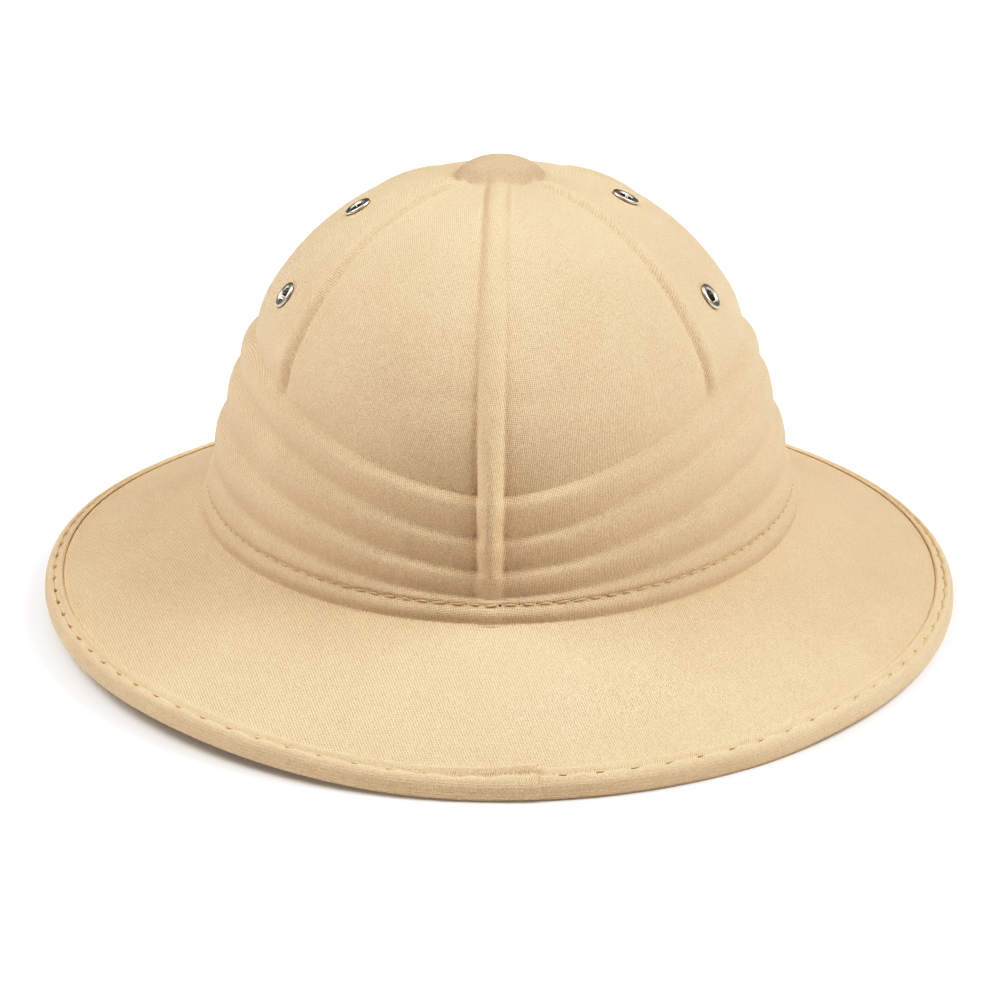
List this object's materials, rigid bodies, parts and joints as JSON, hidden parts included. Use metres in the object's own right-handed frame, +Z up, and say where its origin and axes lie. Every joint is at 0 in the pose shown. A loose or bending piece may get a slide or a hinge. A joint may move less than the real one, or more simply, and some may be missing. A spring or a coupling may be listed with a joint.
{
  "type": "pith helmet",
  "caption": "Pith helmet with a ribbed and folded moulded crown, a sloping oval brim, a folded edge tape and metal vent eyelets.",
  "frame": {"origin": "on the surface the helmet rests on, below the middle of the brim", "axes": "+Z up, -Y to the front, +X to the side that is on the right when it is seen from the front"},
  "size_m": [0.29, 0.3324, 0.1382],
  "materials": {
    "crown_cloth": "beige fine knit, matt",
    "brim_cloth": "beige fine knit, matt",
    "edge_tape": "beige twill tape, matt",
    "eyelet_metal": "bright nickel plate"
  },
  "bodies": {
    "root": {"crown": "crown_cloth", "brim": "brim_cloth", "brim_binding": "edge_tape", "eyelet_left_lower": "eyelet_metal", "eyelet_left_upper": "eyelet_metal", "eyelet_right_lower": "eyelet_metal", "eyelet_right_upper": "eyelet_metal"}
  },
  "joints": []
}
